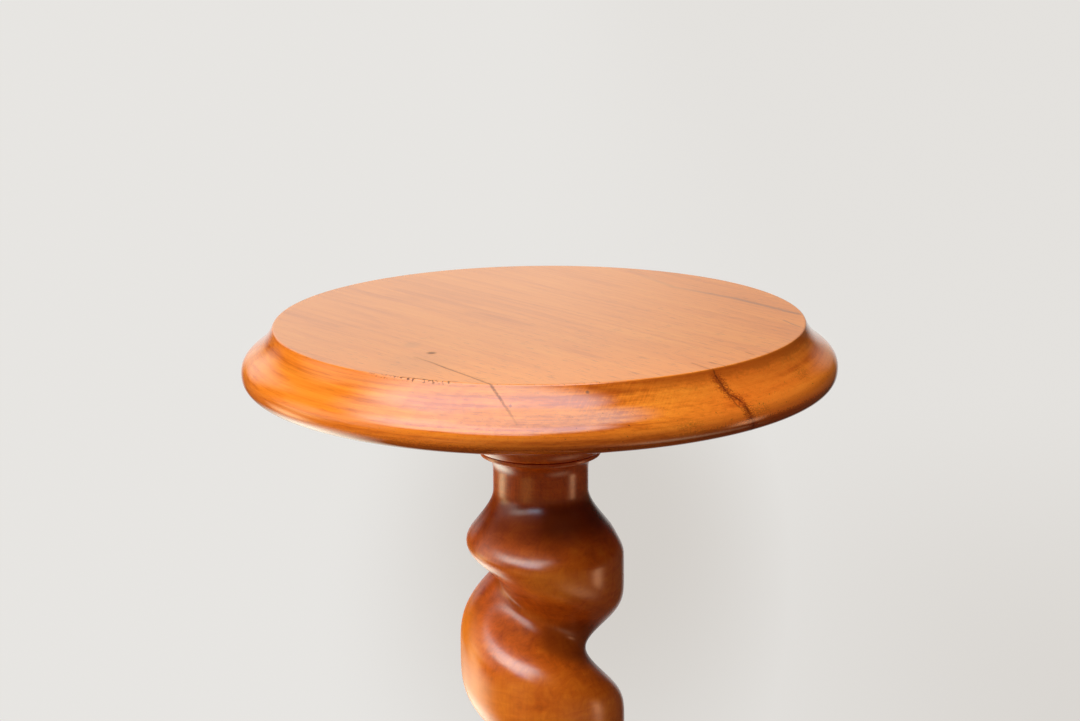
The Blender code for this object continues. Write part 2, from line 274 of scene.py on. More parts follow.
# marks of age on the top, in mm from the middle of the flat: right, away, up
# a dab has its middle, its reach and its strength
topMarks = {
    "leftCheck": [(-59.2, -78.2, 0), (-51.2, -88.5, 0), (-43.7, -100.5, 0), (-32.7, -116.3, 0),
                  (-22.4, -132.0, 0), (-18.7, -134.7, -4.9), (-14.2, -139.8, -10.6), (-10.2, -146.2, -15.4)],
    "rightCrack": [(80.2, -106.8, -0.4), (81.4, -107.9, -3.3), (84.1, -108.9, -7.1), (87.2, -111.0, -11.2),
                   (92.3, -111.4, -14.0), (95.6, -113.8, -17.7), (97.5, -113.9, -22.4), (98.8, -112.2, -25.6),
                   (98.5, -109.3, -28.7), (96.9, -105.9, -30.4)],
    "crackFork": [(87.2, -111.0, -11.2), (91.1, -115.3, -15.8), (95.6, -114.6, -19.0)],
    "backStreak": [(50.3, 116.4, 0), (71.6, 73.6, 0), (101.3, 44.8, 0), (131.2, 5.6, 0)],
    "rimStreak": [(122.3, -7.7, 0), (126.7, -19.0, 0), (129.2, -23.5, 0)],
    "poreLines": [[(71.0, -95.7, 0), (78.6, -107.6, 0)], [(79.5, -94.1, 0), (86.4, -102.2, 0)],
                  [(97.9, -74.9, 0), (101.6, -81.1, 0)]],
    "smear": [(23.0, -132.5, -2.1), (41.2, -129.6, -4.9)],
    "spot": ((-51.4, -70.5, 0), (3.4, 3.4, 2.0), 0.75),
    "smudge": ((-61.7, -53.6, 0), (7, 9, 2), 0.16),
    "shade": ((-58.0, -92.0, 0), (30, 30, 2), 0.14),
    "chip": ((21.6, -133.6, -3.7), (1.3, 2.0, 1.0), 0.8),
    "redDot": ((-13.3, -138.1, -8.7), (1.0, 2.0, 1.0), 0.7),
    "blots": [(124.9, -67.6, -11.9), (102.0, -109.0, -19.5), (68.0, -133.0, -21.0)],
    "blotReach": (11, 11, 5),
    "pittedRing": 133.2,
}


# where a point of the top lies: mm to the right, away and under the flat, and degrees round from the front
def placeOnTop(where):
    lowered = {"Vector": where, "Location": (0, 0, -flatZ * mmPerMetre), "Scale": (mmPerMetre,) * 3}
    place = where.add("ShaderNodeMapping", None, lowered)
    right, away, up = (place.part(axis) for axis in range(3))
    under = up * -1.0
    return {
        "place": place,
        "right": right,
        "away": away,
        "under": under,
        "turn": right.sum("ARCTAN2", right, away * -1.0) * math.degrees(1),
        "onFlat": under.fade(0.6, 0.2),
        "onMould": under.fade(0.3, 1.2),
        "grit": place.noise(0.55, 4, 0.65),
        "specks": place.stretchedNoise((0.9, 0.9, 1.7), 3, 0.6),
    }


# growth layers run level round the moulding, with a slanting hatch right of the middle
def topTone(figure, at):
    place, under, turn, onMould = at["place"], at["under"], at["turn"], at["onMould"]
    level = place.stretchedNoise((0.010, 0.010, 0.42), 5, 0.62) - 0.5
    level = level * (1.3 - turn.fade(-18, -42) * 0.5)
    slant = place.add("ShaderNodeMapping", None, {"Vector": place, "Rotation": (0, topWood["hatchTurn"], 0)})
    slant = slant.stretchedNoise((0.05, 0.2, 1.3), 2, 0.5) - 0.5
    slant = slant * turn.fade(1, 7) * turn.fade(38, 22) * under.fade(17, 9)
    tone = figure["streak"] * 0.4 + figure["fibre"] * 0.5 + figure["cloud"] * 0.35
    tone = tone - figure["lateWood"] * 0.06 - figure["endGrain"] * 0.08 - 0.08
    tone = tone + (level + slant * 0.5 + turn.fade(8, 30) * 0.06) * onMould - at["onFlat"] * 0.03
    # painted shade: the upper moulding at the front middle is darker, to hold down the light there
    return tone - onMould * turn.fade(-32, -14) * turn.fade(18, 8) * under.fade(16, 8) * 0.1


# the clean wood, warmer toward the front of the flat and redder on the right of the moulding, with a painted
# light on the right of the nose and a painted shade under the arris on the right
def topGround(figure, at):
    wood, place, away, under, turn = topWood, at["place"], at["away"], at["under"], at["turn"]
    onFlat, onMould = at["onFlat"], at["onMould"]
    colour = woodColour(topTone(figure, at), wood)
    colour = colour.tint(onFlat * (away.fade(-125, -40) * 0.24 + 0.02), wood["flatBack"])
    colour = colour.tint(onFlat * away.fade(-60, -130) * 0.4, wood["flatFront"])
    colour = colour.tint(onMould * turn.fade(20, 48) * 0.36, wood["mouldRight"])
    # painted light: the upper nose on the right is paler where more light falls on it
    nose = under.fade(14.5, 18) * under.fade(24, 21.5) * turn.fade(18, 45) * turn.fade(110, 80)
    colour = colour.tint(nose * 0.5, wood["paintedNoseLight"])
    frontRight = place.vector("DOT_PRODUCT", (0.6, -0.8, 0), 1).fade(-120, 120)
    pores = figure["pores"].fade(0.58, 0.72) * (frontRight * 0.5 + 0.1) * (onFlat * 0.7 + 0.5)
    colour = colour.tint(pores, wood["pore"])

    # painted shade in a darker band under the arris on the right, and brown lines in the hollow on the left
    shadeUnderArris = (under - figure["streak"] * 9.0 - at["grit"] * 5.0).fade(-0.5, -5.0) * under.fade(0.05, 0.35)
    shadeUnderArris = shadeUnderArris * turn.fade(8, 26) * turn.fade(100, 70)
    lines = place.stretchedNoise((0.012, 0.012, 0.55), 3, 0.6).fade(0.50, 0.66)
    lines = lines * under.fade(0.4, 1.2) * under.fade(15.0, 5.0) * turn.fade(0, -22)
    return colour.tint(largest([shadeUnderArris * 0.6, lines * 0.38]), wood["brown"])


# patina held by the nose, speckled at its upper edge and heavier on the right; its bands darkening toward the
# nose's underside are partly painted shade
def topPatinaAndShade(at):
    under, turn, specks = at["under"], at["turn"], at["specks"]
    depth = under.fade(16.0, 31.0) + turn.fade(5, 60) * 0.05
    patinaAndShade = (depth + specks * 1.1 - 0.98).fade(0.0, 0.55)
    band = (under + specks * 7.0).fade(25.6, 27.4) * turn.fade(8, 32) * 1.25
    frontBand = (under + specks * 3.0).fade(20.5, 25.5) * turn.fade(-25, 0) * turn.fade(50, 25) * 0.6
    blots = [dab(at["place"], middle, topMarks["blotReach"]) for middle in topMarks["blots"]]
    patinaAndShade = largest([patinaAndShade, band, frontBand, largest(blots) * specks.fade(0.40, 0.60) * 0.8])
    return patinaAndShade * (turn.fade(-40, -8) * 0.3 + 0.3 - turn.fade(5, 30) * 0.16)


# a painted reflection, a pale line along the bottom of the nose
def topNoseReflection(at):
    turn = at["turn"]
    fromLine = at["under"] - 25.4 - at["specks"]
    return fromLine.sum("ABSOLUTE", fromLine).fade(0.9, 0.2) * turn.fade(13, 22) * turn.fade(48, 38) * 0.5


# stains, lines, marks and pits, each by the name of its colour, and what the surface needs of them
def topScars(at):
    marks, place, under, turn, specks = topMarks, at["place"], at["under"], at["turn"], at["specks"]
    wander = (at["grit"] - 0.5) * 1.6
    check = (awayFrom(place, marks["leftCheck"]) + wander * 0.8).fade(1.0, 0.1)
    check = check * (specks.fade(0.3, 0.5) * 0.5 + 0.5) * (under.fade(18, 2) * 0.5 + 0.16)
    check = check * (at["away"].fade(-80, -100) * 0.45 + 0.55)
    gap = awayFrom(place, marks["rightCrack"])
    crack = (gap + wander * 1.1).fade(0.75, 0.1) * (specks.fade(0.35, 0.5) * 0.5 + 0.5)
    fork = (awayFrom(place, marks["crackFork"]) + wander).fade(0.7, 0.1) * 0.6
    stain = (gap - specks * 14.0 + 4.4).fade(1.4, -2.4) * under.fade(0.5, 4)
    smear = (awayFrom(place, marks["smear"]) + wander).fade(2.6, 0.2) * 0.45
    backStreak = (awayFrom(place, marks["backStreak"]) + wander).fade(2.8, 0.2)
    backStreak = backStreak * (at["right"].fade(55, 112) * 0.4 + 0.14)
    rimStreak = (awayFrom(place, marks["rimStreak"]) + wander * 0.4).fade(1.0, 0.1) * 0.5
    poreGaps = [awayFrom(place, line) + wander * 0.3 for line in marks["poreLines"]]
    poreLines = largest([gap.fade(0.8, 0.1) * 0.6 for gap in poreGaps])
    spot = dab(place, *marks["spot"])
    chip = dab(place, *marks["chip"]) * specks.fade(0.38, 0.5)
    fromRing = place.vector("MULTIPLY", (1, 1, 0)).vector("LENGTH", out=1) - marks["pittedRing"]
    pits = place.noise(0.62, 2, 0.6).fade(0.51, 0.57) * fromRing.sum("ABSOLUTE", fromRing).fade(1.6, 0.6)
    pits = pits * turn.fade(-36, -33) * turn.fade(-15, -18) * under.fade(1.8, 1.1)
    holes = place.noise(0.9, 1, 0.4).fade(0.74, 0.78) * under.fade(9, 14) * turn.fade(-10, 5)
    deep = largest([pits, crack * 0.75, fork, holes])
    return {
        "stain": largest([stain * 0.85, smear, dab(place, *marks["redDot"])]),
        "dullLine": largest([backStreak, rimStreak, dab(place, *marks["shade"]), poreLines]) * at["onFlat"],
        "darkMark": largest([spot, dab(place, *marks["smudge"]), chip, check]),
        "pit": deep * 0.8,
        "depth": deep * 5 + check * 3,
        "unpolished": largest([check, deep, spot, poreLines]),
    }


def topFinish():
    wood = topWood
    material, shader, where = newFinish("polished_top_wood", polish)
    figure = woodFigure(where, wood)
    at = placeOnTop(where)
    patinaAndShade = topPatinaAndShade(at)
    scars = topScars(at)
    colour = topGround(figure, at).tint(patinaAndShade, wood["dirtAndShade"]).tint(topNoseReflection(at), wood["paintedReflection"])
    for name in ("stain", "dullLine", "darkMark", "pit"):
        colour = colour.tint(scars[name], wood[name])
    height = figure["fine"] * 0.05 - figure["openPores"] * 0.3 - scars["depth"]
    rough = figure["cloud"] * 0.2 + patinaAndShade * 0.4 + 0.3
    gloss = 1.0 - scars["unpolished"] * 0.7
    plug(shader, colour=colour, roughness=rough, coat=gloss, normal=bumped(height, wood["bump"]))
    return material


columnWood = {
    "turn": (0, math.radians(90), 0),
    "grain": (0.0, 0.0, 1.0),
    "pith": (18.0, 31.0),
    "warp": 12.0,
    "yearWidth": 1.5,
    "streak": (0.05, 0.05, 0.05),
    "fibre": (0.9, 0.10, 0.10),
    "wander": 0.9,
    "pores": (0.12, 2.2, 2.2),
    "bump": 0.00003,
    "pale": (0.92, 0.205, 0.012),
    "middle": (0.74, 0.124, 0.005),
    "deep": (0.42, 0.052, 0.002),
    "pore": (0.16, 0.022, 0.002),
    # grime with painted shade on the column
    "dirtAndShade": (0.16, 0.018, 0.001),
    "brown": (0.36, 0.075, 0.008),
    # painted light down the left of the column
    "paintedLight": (0.95, 0.27, 0.02),
}


def columnFinish():
    wood = columnWood
    material, shader, where = newFinish("polished_column_wood", softPolish)
    figure = woodFigure(where, wood)
    across = where.part(0) * mmPerMetre
    fromAxis = where.vector("MULTIPLY", (mmPerMetre, mmPerMetre, 0)).vector("LENGTH", out=1)
    below = (where.part(2) - flatZ) * -mmPerMetre  # depth under the flat
    mottle = where.stretchedNoise((130, 130, 90), 5, 0.66, 1.2) - 0.5
    flecks = where.stretchedNoise((85, 85, 300), 3, 0.55, 0.6) - 0.5
    tone = figure["streak"] * 0.5 + figure["cloud"] * 0.4 + mottle * 0.6 + flecks * 0.4
    tone = tone - figure["lateWood"] * 0.03 - figure["endGrain"] * 0.08 + 0.095
    # painted shade and light: darker toward the axis, in the hollows and the neck, lighter out on the crests
    tone = tone + (fromAxis - 36.0) * 0.007 + below.fade(112, 84) * 0.02
    colour = woodColour(tone, wood, 0.2)
    colour = colour.tint(figure["openPores"] * 0.16, wood["pore"])

    # painted light, paler down the left and on the belly of one turn, and painted shade, duller to the right
    lowLeft = across.fade(-6, -40) * below.fade(172, 188) * 0.66
    upperLeft = across.fade(-26, -41) * below.fade(110, 122) * 0.6
    belly = across.fade(-14, -2) * across.fade(24, 12) * below.fade(114, 124) * below.fade(144, 134) * 0.28
    colour = colour.tint(largest([lowLeft, upperLeft, belly]) * fromAxis.fade(27, 40), wood["paintedLight"])
    colour = colour.tint(across.fade(6, 34) * 0.2, wood["dirtAndShade"])

    # painted shade under the neck, where the top's shadow falls, and on the right of the shoulder and of one
    # hollow; speckled grime, and darker hollows besides
    shoulder = below.fade(84, 95) * below.fade(113, 101)
    hollow = fromAxis.fade(25.5, 22.5) * below.fade(122, 130)
    rightHollowShade = fromAxis.fade(33, 27) * below.fade(150, 158) * across.fade(-6, 4)
    rightShoulderShade = below.fade(84, 95) * below.fade(118, 104) * across.fade(-10, 8)
    grime = where.stretchedNoise((1200, 1200, 1200), 3, 0.6).fade(0.56, 0.68) * fromAxis.fade(40, 30)
    dark = largest([shoulder * 0.62, hollow * 0.3, grime * 0.25, rightHollowShade * 0.62]) + rightShoulderShade * 0.3
    colour = colour.tint(dark, wood["dirtAndShade"])
    colour = colour.tint(fromAxis.fade(37, 27) * below.fade(118, 128) * 0.18, wood["brown"])

    # less polish in the hollows, and at two places on the left
    gloss = fromAxis.fade(24, 38) * 0.4 + below.fade(128, 112) * 0.4
    gloss = gloss.sum("ADD", gloss, 0.6, True)
    gloss = gloss - shoulder * across.fade(-11, -21) * across.fade(-34, -27) * 0.6
    gloss = gloss - across.fade(-17, -28) * below.fade(146, 156) * below.fade(186, 172) * 0.35
    height = figure["fine"] * 0.1 - figure["openPores"] * 0.6
    plug(shader, colour=colour, coat=gloss, normal=bumped(height, wood["bump"]))
    return material


# woods of the pieces below and inside, plainer than the top and the column
baseWood = {
    **columnWood,
    "turn": (0, 0, 0),
    "grain": (1, 0, 0),
    "pith": (-40.0, 600.0),
    "yearWidth": 3.0,
    "streak": (0.006, 0.07, 0.30),
    "fibre": (0.012, 0.30, 1.5),
    "bump": 0.00004,
}
footWood = {**columnWood, "streak": (0.02, 0.12, 0.12), "fibre": (0.05, 0.7, 0.7), "bump": 0.00004}
cleatWood = {
    **baseWood,
    "pale": (0.52, 0.21, 0.065),
    "middle": (0.40, 0.15, 0.044),
    "deep": (0.26, 0.085, 0.022),
    "pore": (0.10, 0.035, 0.012),
}
wedgeWood = {
    **footWood,
    "pale": (0.42, 0.21, 0.10),
    "middle": (0.31, 0.145, 0.06),
    "deep": (0.19, 0.08, 0.03),
    "pore": (0.08, 0.03, 0.012),
}


def plainWoodFinish(name, wood, surface):
    material, shader, where = newFinish(name, surface)
    figure = woodFigure(where, wood)
    tone = figure["streak"] * 0.55 + figure["fibre"] * 0.45 + figure["cloud"] * 0.4
    tone = tone - figure["lateWood"] * 0.10 - figure["endGrain"] * 0.08 - 0.13
    colour = woodColour(tone, wood).tint(figure["openPores"] * 0.4, wood["pore"])
    height = figure["fine"] * 0.15 - figure["openPores"]
    plug(shader, colour=colour, normal=bumped(height, wood["bump"]))
    return material


def steelFinish():
    material, shader, where = newFinish("dull_screw_steel", {"Metallic": 1.0})
    scratches = where.stretchedNoise((900, 900, 900), 4)
    colour = scratches.ramp([(0.3, (0.20, 0.18, 0.16)), (0.7, (0.42, 0.40, 0.37))])
    plug(shader, colour=colour, roughness=scratches * 0.3 + 0.25)
    return material


finishes = {
    "polished_top": topFinish(),
    "polished_column": columnFinish(),
    "polished_base": plainWoodFinish("polished_base_wood", baseWood, polish),
    "polished_foot": plainWoodFinish("polished_foot_wood", footWood, polish),
    "oiled_cleat": plainWoodFinish("oiled_cleat_wood", cleatWood, oiled),
    "wedge_wood": plainWoodFinish("bare_wedge_wood", wedgeWood, bare),
    "screw_steel": steelFinish(),
}
print("finishes mixed:", len(finishes))


def keepPiece(piece, node, slot):
    piece.data.materials.clear()
    piece.data.materials.append(finishes[slot])
    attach(piece, "root")
    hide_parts(node)


# angles and distances that the shaping functions share
shaping = {"smoothBelow": math.radians(38), "mergeWithin": 0.000002, "ringWithin": 0.00002}


# one vertex drawn out along half a section, then spun round the upright axis
def turnOnLathe(name, outline, steps, smoothBelow=shaping["smoothBelow"]):
    bpy.ops.object.select_all(action="DESELECT")
    bpy.ops.mesh.primitive_plane_add(size=0.01, location=(0, 0, 0))
    piece = bpy.context.object
    piece.name = name
    bpy.ops.object.mode_set(mode="EDIT")
    bpy.ops.mesh.select_mode(type="VERT")
    bpy.ops.mesh.select_all(action="SELECT")
    bpy.ops.mesh.merge(type="CENTER")
    bpy.ops.transform.translate(value=(outline[0][0], 0, outline[0][1]))
    for here, there in zip(outline, outline[1:]):
        step = (there[0] - here[0], 0, there[1] - here[1])
        bpy.ops.mesh.extrude_vertices_move(TRANSFORM_OT_translate={"value": step})
    bpy.ops.mesh.select_all(action="SELECT")
    bpy.ops.mesh.spin(steps=steps, angle=math.tau, center=(0, 0, 0), axis=(0, 0, 1))
    bpy.ops.mesh.select_all(action="SELECT")
    bpy.ops.mesh.remove_doubles(threshold=shaping["mergeWithin"])
    bpy.ops.mesh.normals_make_consistent(inside=False)
    bpy.ops.object.mode_set(mode="OBJECT")
    bpy.ops.object.shade_smooth_by_angle(angle=smoothBelow)
    return piece


def applyModifier(piece, kind, **settings):
    bpy.context.view_layer.objects.active = piece
    made = piece.modifiers.new(kind.lower(), kind)
    for key, value in settings.items():
        setattr(made, key, value)
    bpy.ops.object.modifier_apply(modifier=made.name)


def pick(piece):
    bpy.ops.object.select_all(action="DESELECT")
    piece.select_set(True)
    bpy.context.view_layer.objects.active = piece


# move and turn a piece, and keep its place in the mesh
def settle(piece, place, turn=0.0):
    pick(piece)
    piece.location = place
    piece.rotation_euler.z = turn
    bpy.ops.object.transform_apply(location=True, rotation=True, scale=True)


def copyOf(piece, name):
    pick(piece)
    bpy.ops.object.duplicate(linked=False)
    made = bpy.context.object
    made.name = name
    return made


def cutAway(piece, cutter):
    pick(piece)
    applyModifier(piece, "BOOLEAN", operation="DIFFERENCE", solver="EXACT", object=cutter)
    bpy.ops.object.shade_smooth_by_angle(angle=shaping["smoothBelow"])
    bpy.data.objects.remove(cutter, do_unlink=True)


# a bar across the column that thickens from its tip to its head, each given as height and thickness
def taperedBar(name, width, tip, head):
    bpy.ops.object.select_all(action="DESELECT")
    bpy.ops.mesh.primitive_cube_add(size=1, location=(0, 0, 0))
    piece = bpy.context.object
    piece.name = name
    bpy.ops.object.mode_set(mode="EDIT")
    bpy.ops.mesh.select_all(action="SELECT")
    bpy.ops.transform.resize(value=(tip[1], width, abs(head[0] - tip[0])))
    bpy.ops.transform.translate(value=(0, 0, (head[0] + tip[0]) / 2))
    bpy.ops.mesh.select_mode(type="VERT")
    bpy.ops.mesh.select_all(action="DESELECT")
    cage = bmesh.from_edit_mesh(piece.data)
    for vert in cage.verts:
        vert.select_set(abs(vert.co.z - head[0]) < abs(vert.co.z - tip[0]))
    cage.select_flush_mode()
    bmesh.update_edit_mesh(piece.data)
    bpy.ops.transform.resize(value=(head[1] / tip[1], 1, 1))
    bpy.ops.object.mode_set(mode="OBJECT")
    return piece


# points past the start on a quarter round that leaves the start upright or level
# full is 2 for an ellipse, and more for a squarer round
def quarterRound(start, end, leaves, steps=8, full=2.0):
    points = []
    for step in range(1, steps + 1):
        turn = math.pi / 2 * step / steps
        ahead, aside = math.sin(turn) ** (2 / full), 1 - max(math.cos(turn), 0.0) ** (2 / full)
        across, along = (aside, ahead) if leaves == "upright" else (ahead, aside)
        points.append((start[0] + (end[0] - start[0]) * across, start[1] + (end[1] - start[1]) * along))
    return points


# points past the start on a curve that two more points pull to their sides
def cubicSweep(start, pullStart, pullEnd, end, steps):
    points = []
    for step in range(1, steps + 1):
        t = step / steps
        shares = ((1 - t) ** 3, 3 * t * (1 - t) ** 2, 3 * t * t * (1 - t), t**3)
        pulls = list(zip(shares, (start, pullStart, pullEnd, end)))
        points.append(tuple(sum(share * point[axis] for share, point in pulls) for axis in (0, 1)))
    return points


# moulded edge of the top and the base: hollow under the arris, then a round nose
edgeMould = {
    "out": 0.0163,
    "drop": 0.0224,
    "hollowOut": 0.0062,
    "hollowDown": 0.0154,
    "noseUp": 0.0092,
    "noseReturn": 0.0121,
    "noseFull": 2.4,
    "arrisSoft": 0.0006,
}


def mouldedEdge(radius, under, over):
    mould = edgeMould
    widest = (radius, over - mould["drop"])
    bottom = (radius - mould["noseReturn"], under)
    arris = (radius - mould["out"], over)
    hollowPull = (arris[0] + mould["hollowOut"], over - mould["hollowDown"])
    nosePull = (radius, widest[1] + mould["noseUp"])
    nose = quarterRound(bottom, widest, "level", 18, mould["noseFull"])
    return [bottom, *nose, *cubicSweep(widest, nosePull, hollowPull, arris, 28)]


# soften the ring of edges at one radius and height
def softenRing(piece, radius, height, width, steps=3):
    within = shaping["ringWithin"]
    pick(piece)
    bpy.ops.object.mode_set(mode="EDIT")
    bpy.ops.mesh.select_mode(type="EDGE")
    bpy.ops.mesh.select_all(action="DESELECT")
    cage = bmesh.from_edit_mesh(piece.data)
    for edge in cage.edges:
        ends = [vert.co for vert in edge.verts]
        onRing = [abs(end.xy.length - radius) < within and abs(end.z - height) < within for end in ends]
        edge.select_set(all(onRing))
    bmesh.update_edit_mesh(piece.data)
    bpy.ops.mesh.bevel(offset=width, segments=steps, affect="EDGES")
    bpy.ops.object.mode_set(mode="OBJECT")
    bpy.ops.object.shade_smooth_by_angle(angle=shaping["smoothBelow"])


# middle of a piece's underside, and its height
def standingPlace(node):
    low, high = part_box(node)
    return Vector(((low[0] + high[0]) / 2, (low[1] + high[1]) / 2, low[2])), high[2] - low[2]


screwNodes = [f"cleat_screw_{number}" for number in (1, 2, 3, 4)]
screwSizes = {
    "head": 0.0042,
    "shank": 0.0021,
    "headDeep": 0.0024,
    "point": 0.006,
    "edgeSoft": 0.0002,
    "slot": 0.001,
    "turnStep": math.radians(37),
    "gap": 0.0003,
    "overrun": 0.002,
    "around": 40,
    "smoothBelow": math.radians(30),
}


def screwHole(node):
    size = screwSizes
    gap, past = size["gap"], size["overrun"]
    place, tall = standingPlace(node)
    head, shank = size["head"] + gap, size["shank"] + gap
    outline = [(0, -past), (head, -past), (head, 0), (shank, size["headDeep"] + gap)]
    outline += [(shank, tall - size["point"]), (0, tall + gap)]
    hole = turnOnLathe("screw_hole", outline, size["around"])
    settle(hole, place)
    return hole


topSizes = {"mortise": 0.0163, "overMortise": 0.011, "flatRings": (0.75, 0.5, 0.25), "around": 256}


def makeTop():
    low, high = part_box("top_board")
    radius = high[0]
    ceiling = high[2] - topSizes["overMortise"]
    bore = topSizes["mortise"]
    outline = [(0, ceiling), (bore, ceiling), (bore, low[2]), *mouldedEdge(radius, low[2], high[2])]
    outline += [(radius * share, high[2]) for share in topSizes["flatRings"]] + [(0, high[2])]
    top = turnOnLathe("top_board_turned", outline, topSizes["around"])
    softenRing(top, radius - edgeMould["out"], high[2], edgeMould["arrisSoft"])
    for node in screwNodes:
        cutAway(top, screwHole(node))
    keepPiece(top, "top_board", "polished_top")


makeTop()
print("top turned")

columnSizes = {
    "gap": 0.0003,
    "neck": 0.0244,
    "flangeOut": 0.009,
    "flangeTall": 0.004,
    "flangeCove": 0.006,
    "collar": 0.031,
    "beadTall": 0.0113,
    "beadOut": 0.0028,
    "quirkDeep": 0.0012,
    "quirkTall": 0.0007,
    "quirkFloor": (0.4, 0.7),  # shares of its height
    "filletTall": 0.0025,
    "filletSoft": 0.0006,
    "edgeSoft": 0.0002,
    "neckCove": 0.0079,
    "neckLong": 0.0111,
    "body": 0.0425,
    "core": 0.0225,
    "pitch": 0.085,
    "sharpness": 2.4,
    "shoulder": 0.0345,
    "hollowStart": 0.0204,
    "hollowRunIn": 0.0188,
    "hollowAngle": math.radians(-7.4),
    "upperTenon": 0.016,
    "lowerTenon": 0.018,
    "chamfer": 0.0015,
    "around": 96,
    "ringsPerTurn": 52,
}


# the wedges in the tenons' saw kerfs: the upper one has its head up
wedgeNodes = {"upper_tenon_wedge": True, "lower_tenon_wedge": False}
wedgeSizes = {
    "head": 0.004,
    "tip": 0.0014,
    "setBack": 0.003,
    "edgeSoft": 0.0002,
    "gap": 0.0003,
    "overrun": 0.004,
}


def wedgeBar(name, node, headUp, gap=0.0, overrun=0.0):
    size = wedgeSizes
    low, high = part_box(node)
    tipZ, headZ = (low[2] - gap, high[2]) if headUp else (high[2] + gap, low[2])
    tip, head = size["tip"] + 2 * gap, size["head"] + 2 * gap
    past = overrun if headUp else -overrun
    head += (size["head"] - size["tip"]) * overrun / (high[2] - low[2])  # the taper runs on past the face
    width = high[1] - low[1] + 2 * (size["setBack"] + overrun if gap else 0)
    return taperedBar(name, width, (tipZ, tip), (headZ + past, head))


def ease(t):
    t = min(max(t, 0.0), 1.0)
    return t * t * (3 - 2 * t)


# radius and distance from the seat: flange, cove, bead, quirk, fillet, cove, neck
def turnedEnd(size):
    collar = size["collar"]
    flange = collar + size["flangeOut"]
    coveTop = size["flangeTall"] + size["flangeCove"]
    beadMiddle = coveTop + size["beadTall"] / 2
    beadEnd = coveTop + size["beadTall"]
    filletEnd = beadEnd + size["filletTall"]
    outline = [(flange, 0), (flange, size["flangeTall"])]
    outline += quarterRound((flange, size["flangeTall"]), (collar, coveTop), "level")
    outline += quarterRound((collar, coveTop), (collar + size["beadOut"], beadMiddle), "level")
    outline += quarterRound((collar + size["beadOut"], beadMiddle), (collar, beadEnd), "upright")
    inQuirk, soft = collar - size["quirkDeep"], collar - size["edgeSoft"]
    outline += [(inQuirk, beadEnd + size["quirkTall"] * share) for share in size["quirkFloor"]]
    outline += [(soft, beadEnd + size["quirkTall"]), (collar, filletEnd - size["filletSoft"])]
    outline += [(soft, filletEnd)]
    neckStart = (size["neck"], filletEnd + size["neckCove"])
    return outline + quarterRound((soft, filletEnd), neckStart, "level", 10)


def makeColumn():
    size = columnSizes
    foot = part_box("base_board")[1][2] + size["gap"]
    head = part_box("top_cleat")[0][2] - size["gap"]
    low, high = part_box("column")
    end = turnedEnd(size)
    endLong = end[-1][1] + size["neckLong"]
    lowEnd, highEnd = foot + endLong, head - endLong  # where the twist starts and stops
    neck, body, core = size["neck"], size["body"], size["core"]

    def swell(z):
        return neck + (body - neck) * ease(min(z - lowEnd, highEnd - z) / size["shoulder"])

    outline = [(0, low[2]), (size["lowerTenon"] - size["chamfer"], low[2])]
    outline += [(size["lowerTenon"], low[2] + size["chamfer"]), (size["lowerTenon"], foot)]
    outline += [(radius, foot + away) for radius, away in end]
    rings = round(size["ringsPerTurn"] * (highEnd - lowEnd) / size["pitch"])
    for ring in range(rings + 1):
        z = lowEnd + (highEnd - lowEnd) * ring / rings
        outline.append((swell(z), z))
    outline += [(radius, head - away) for radius, away in reversed(end)]
    outline += [(size["upperTenon"], head), (size["upperTenon"], high[2] - size["chamfer"])]
    outline += [(size["upperTenon"] - size["chamfer"], high[2]), (0, high[2])]
    column = turnOnLathe("column_twisted", outline, size["around"])

    # a straight flute first, drawn in to the core by weight, then the whole body is twisted
    turnPerMetre = -math.tau / size["pitch"]
    fluteAngle = size["hollowAngle"] - turnPerMetre * highEnd
    flute = column.vertex_groups.new(name="flute")
    for vert in column.data.vertices:
        z = vert.co.z
        if not lowEnd <= z <= highEnd:
            continue
        fromNeck = min(z - lowEnd, highEnd - z)
        depth = (body - core) * ease((fromNeck - size["hollowStart"]) / size["hollowRunIn"])
        turn = math.atan2(vert.co.y, vert.co.x) - fluteAngle
        share = depth * ((1 + math.cos(turn)) / 2) ** size["sharpness"] / (swell(z) - core)
        if share > 0:
            flute.add([vert.index], share, "REPLACE")
    applyModifier(column, "CAST", cast_type="CYLINDER", factor=1.0, use_radius_as_size=False, size=core,
                  radius=0.0, use_z=False, vertex_group="flute")
    span = high[2] - low[2]
    limits = ((lowEnd - low[2]) / span, (highEnd - low[2]) / span)
    applyModifier(column, "SIMPLE_DEFORM", deform_method="TWIST", deform_axis="Z", limits=limits,
                  angle=turnPerMetre * (highEnd - lowEnd))
    for node, headUp in wedgeNodes.items():
        cutAway(column, wedgeBar("kerf", node, headUp, wedgeSizes["gap"], wedgeSizes["overrun"]))
    keepPiece(column, "column", "polished_column")


makeColumn()
print("column turned, fluted and twisted")


def makeWedges():
    for node, headUp in wedgeNodes.items():
        wedge = wedgeBar(f"{node}_split", node, headUp)
        pick(wedge)
        applyModifier(wedge, "BEVEL", width=wedgeSizes["edgeSoft"], segments=2)
        keepPiece(wedge, node, "wedge_wood")


makeWedges()
print("wedges driven")

cleatSizes = {"hole": 0.0163, "round": 0.006, "edgeSoft": 0.0005, "around": 160}


def makeCleat():
    size = cleatSizes
    low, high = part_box("top_cleat")
    rim, hole, soft = high[0], size["hole"], size["edgeSoft"]
    outline = [(hole, low[2]), (rim - size["round"], low[2])]
    outline += quarterRound(outline[-1], (rim, low[2] + size["round"]), "level")
    outline += [(rim, high[2] - soft), (rim - soft, high[2]), (hole, high[2]), (hole, low[2])]
    cleat = turnOnLathe("top_cleat_turned", outline, size["around"])
    for node in screwNodes:
        cutAway(cleat, screwHole(node))
    keepPiece(cleat, "top_cleat", "oiled_cleat")


